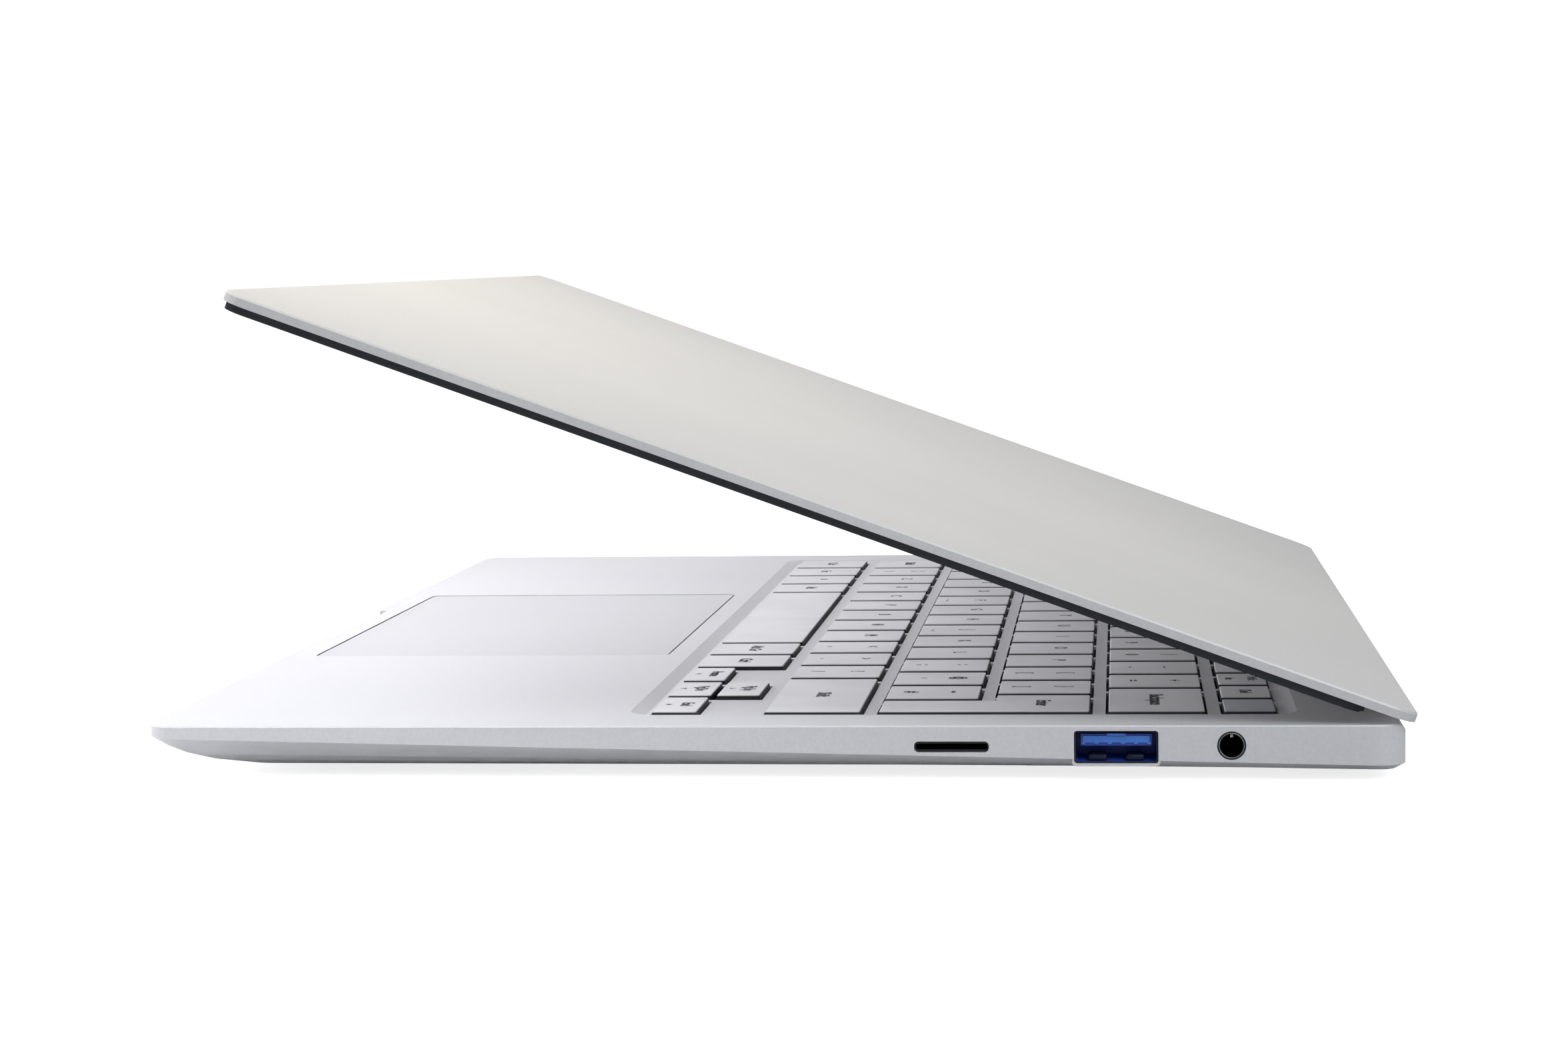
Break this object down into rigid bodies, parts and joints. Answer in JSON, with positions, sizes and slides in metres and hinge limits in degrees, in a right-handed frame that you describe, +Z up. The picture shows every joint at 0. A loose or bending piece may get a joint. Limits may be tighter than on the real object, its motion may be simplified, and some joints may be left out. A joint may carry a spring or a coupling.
{
  "type": "notebook computer",
  "caption": "Thin aluminium notebook computer with a hinged screen lid, island keyboard with travelling keys, click touchpad and side ports.",
  "frame": {"origin": "on the resting surface, under the middle of the machine's footprint with the lid at its drawn angle", "axes": "+X to the user's right, +Y from the front edge to the hinge, +Z up"},
  "size_m": [0.3044, 0.2017, 0.0784],
  "materials": {
    "case_metal": "fine bead blast, anodised silver",
    "cover_metal": "bead blast, anodised silver, in shade",
    "lid_metal": "fine bead blast, anodised silver",
    "foot_rubber": "matt",
    "plate_steel": "satin",
    "membrane_film": "matt film",
    "battery_film": "satin film",
    "board": "satin lacquer",
    "dark_plastic": "matt",
    "copper": "satin copper",
    "fin_metal": "bare",
    "port_steel": "plated",
    "blue_plastic": "satin",
    "hinge_steel": "dark plated",
    "screen_glass": "smooth dark screen",
    "bezel_plastic": "fine matt",
    "gasket_rubber": "satin",
    "pad_glass": "etched satin",
    "key_plastic": "silver lacquer, satin",
    "power_gloss": "polished grey"
  },
  "bodies": {
    "base": {"top_case": "case_metal", "bottom_cover": "cover_metal", "front_feet": "foot_rubber", "rear_feet": "foot_rubber", "keyboard_plate": "plate_steel", "keyboard_membrane": "membrane_film", "touchpad_frame": "plate_steel", "battery_pack": "battery_film", "main_board": "board", "storage_module": "board", "wireless_card": "board", "port_board": "board", "fan_housing": "dark_plastic", "heat_pipe": "copper", "heat_sink": "fin_metal", "speaker_left": "dark_plastic", "speaker_right": "dark_plastic", "usb_a_shell": "port_steel", "usb_a_tongue": "blue_plastic", "card_slot": "dark_plastic", "audio_jack": "dark_plastic", "hdmi_shell": "port_steel", "hdmi_tongue": "dark_plastic", "usb_c_shells": "port_steel", "usb_c_tongues": "dark_plastic", "hinge_bracket_left": "hinge_steel", "hinge_bracket_right": "hinge_steel"},
    "lid": {"lid_cover": "lid_metal", "display_panel": "screen_glass", "display_bezel": "bezel_plastic", "bezel_gasket": "gasket_rubber", "webcam_module": "dark_plastic", "hinge_arm_left": "hinge_steel", "hinge_arm_right": "hinge_steel"},
    "touchpad": {"touchpad_glass": "pad_glass", "touchpad_carrier": "plate_steel"},
    "fan": {"fan_rotor": "dark_plastic"},
    "function_keys_body": {"function_keys": "key_plastic"},
    "power_key_body": {"power_key": "power_gloss"},
    "number_keys_body": {"number_keys": "key_plastic"},
    "backspace_key_body": {"backspace_key": "key_plastic"},
    "tab_key_body": {"tab_key": "key_plastic"},
    "upper_letter_keys_body": {"upper_letter_keys": "key_plastic"},
    "enter_key_body": {"enter_key": "key_plastic"},
    "caps_lock_key_body": {"caps_lock_key": "key_plastic"},
    "home_letter_keys_body": {"home_letter_keys": "key_plastic"},
    "left_shift_key_body": {"left_shift_key": "key_plastic"},
    "lower_letter_keys_body": {"lower_letter_keys": "key_plastic"},
    "right_shift_key_body": {"right_shift_key": "key_plastic"},
    "left_modifier_keys_body": {"left_modifier_keys": "key_plastic"},
    "space_key_body": {"space_key": "key_plastic"},
    "right_modifier_keys_body": {"right_modifier_keys": "key_plastic"},
    "left_arrow_key_body": {"left_arrow_key": "key_plastic"},
    "up_arrow_key_body": {"up_arrow_key": "key_plastic"},
    "down_arrow_key_body": {"down_arrow_key": "key_plastic"},
    "right_arrow_key_body": {"right_arrow_key": "key_plastic"}
  },
  "joints": [
    {"name": "lid_hinge", "type": "hinge", "parent": "base", "child": "lid", "pos_m": [0, 0.0953, 0.0057], "axis": [-1, 0, 0], "range_deg": [-20, 92]},
    {"name": "touchpad_click", "type": "hinge", "parent": "base", "child": "touchpad", "pos_m": [0, -0.032, 0.0071], "axis": [1, 0, 0], "range_deg": [0, 0.35], "stiffness_Nm_per_rad": 25, "springref_deg": -0.23},
    {"name": "fan_spin", "type": "hinge", "parent": "base", "child": "fan", "pos_m": [-0.076, 0.044, 0.004], "axis": [0, 0, 1], "continuous": true},
    {"name": "function_keys_press", "type": "slide", "parent": "base", "child": "function_keys_body", "axis": [0, 0, -1], "range_m": [0, 0.001], "stiffness_N_per_m": 300, "springref_m": -0.001},
    {"name": "power_key_press", "type": "slide", "parent": "base", "child": "power_key_body", "axis": [0, 0, -1], "range_m": [0, 0.001], "stiffness_N_per_m": 300, "springref_m": -0.001},
    {"name": "number_keys_press", "type": "slide", "parent": "base", "child": "number_keys_body", "axis": [0, 0, -1], "range_m": [0, 0.001], "stiffness_N_per_m": 300, "springref_m": -0.001},
    {"name": "backspace_key_press", "type": "slide", "parent": "base", "child": "backspace_key_body", "axis": [0, 0, -1], "range_m": [0, 0.001], "stiffness_N_per_m": 300, "springref_m": -0.001},
    {"name": "tab_key_press", "type": "slide", "parent": "base", "child": "tab_key_body", "axis": [0, 0, -1], "range_m": [0, 0.001], "stiffness_N_per_m": 300, "springref_m": -0.001},
    {"name": "upper_letter_keys_press", "type": "slide", "parent": "base", "child": "upper_letter_keys_body", "axis": [0, 0, -1], "range_m": [0, 0.001], "stiffness_N_per_m": 300, "springref_m": -0.001},
    {"name": "enter_key_press", "type": "slide", "parent": "base", "child": "enter_key_body", "axis": [0, 0, -1], "range_m": [0, 0.001], "stiffness_N_per_m": 300, "springref_m": -0.001},
    {"name": "caps_lock_key_press", "type": "slide", "parent": "base", "child": "caps_lock_key_body", "axis": [0, 0, -1], "range_m": [0, 0.001], "stiffness_N_per_m": 300, "springref_m": -0.001},
    {"name": "home_letter_keys_press", "type": "slide", "parent": "base", "child": "home_letter_keys_body", "axis": [0, 0, -1], "range_m": [0, 0.001], "stiffness_N_per_m": 300, "springref_m": -0.001},
    {"name": "left_shift_key_press", "type": "slide", "parent": "base", "child": "left_shift_key_body", "axis": [0, 0, -1], "range_m": [0, 0.001], "stiffness_N_per_m": 300, "springref_m": -0.001},
    {"name": "lower_letter_keys_press", "type": "slide", "parent": "base", "child": "lower_letter_keys_body", "axis": [0, 0, -1], "range_m": [0, 0.001], "stiffness_N_per_m": 300, "springref_m": -0.001},
    {"name": "right_shift_key_press", "type": "slide", "parent": "base", "child": "right_shift_key_body", "axis": [0, 0, -1], "range_m": [0, 0.001], "stiffness_N_per_m": 300, "springref_m": -0.001},
    {"name": "left_modifier_keys_press", "type": "slide", "parent": "base", "child": "left_modifier_keys_body", "axis": [0, 0, -1], "range_m": [0, 0.001], "stiffness_N_per_m": 300, "springref_m": -0.001},
    {"name": "space_key_press", "type": "slide", "parent": "base", "child": "space_key_body", "axis": [0, 0, -1], "range_m": [0, 0.001], "stiffness_N_per_m": 300, "springref_m": -0.001},
    {"name": "right_modifier_keys_press", "type": "slide", "parent": "base", "child": "right_modifier_keys_body", "axis": [0, 0, -1], "range_m": [0, 0.001], "stiffness_N_per_m": 300, "springref_m": -0.001},
    {"name": "left_arrow_key_press", "type": "slide", "parent": "base", "child": "left_arrow_key_body", "axis": [0, 0, -1], "range_m": [0, 0.001], "stiffness_N_per_m": 300, "springref_m": -0.001},
    {"name": "up_arrow_key_press", "type": "slide", "parent": "base", "child": "up_arrow_key_body", "axis": [0, 0, -1], "range_m": [0, 0.001], "stiffness_N_per_m": 300, "springref_m": -0.001},
    {"name": "down_arrow_key_press", "type": "slide", "parent": "base", "child": "down_arrow_key_body", "axis": [0, 0, -1], "range_m": [0, 0.001], "stiffness_N_per_m": 300, "springref_m": -0.001},
    {"name": "right_arrow_key_press", "type": "slide", "parent": "base", "child": "right_arrow_key_body", "axis": [0, 0, -1], "range_m": [0, 0.001], "stiffness_N_per_m": 300, "springref_m": -0.001}
  ]
}
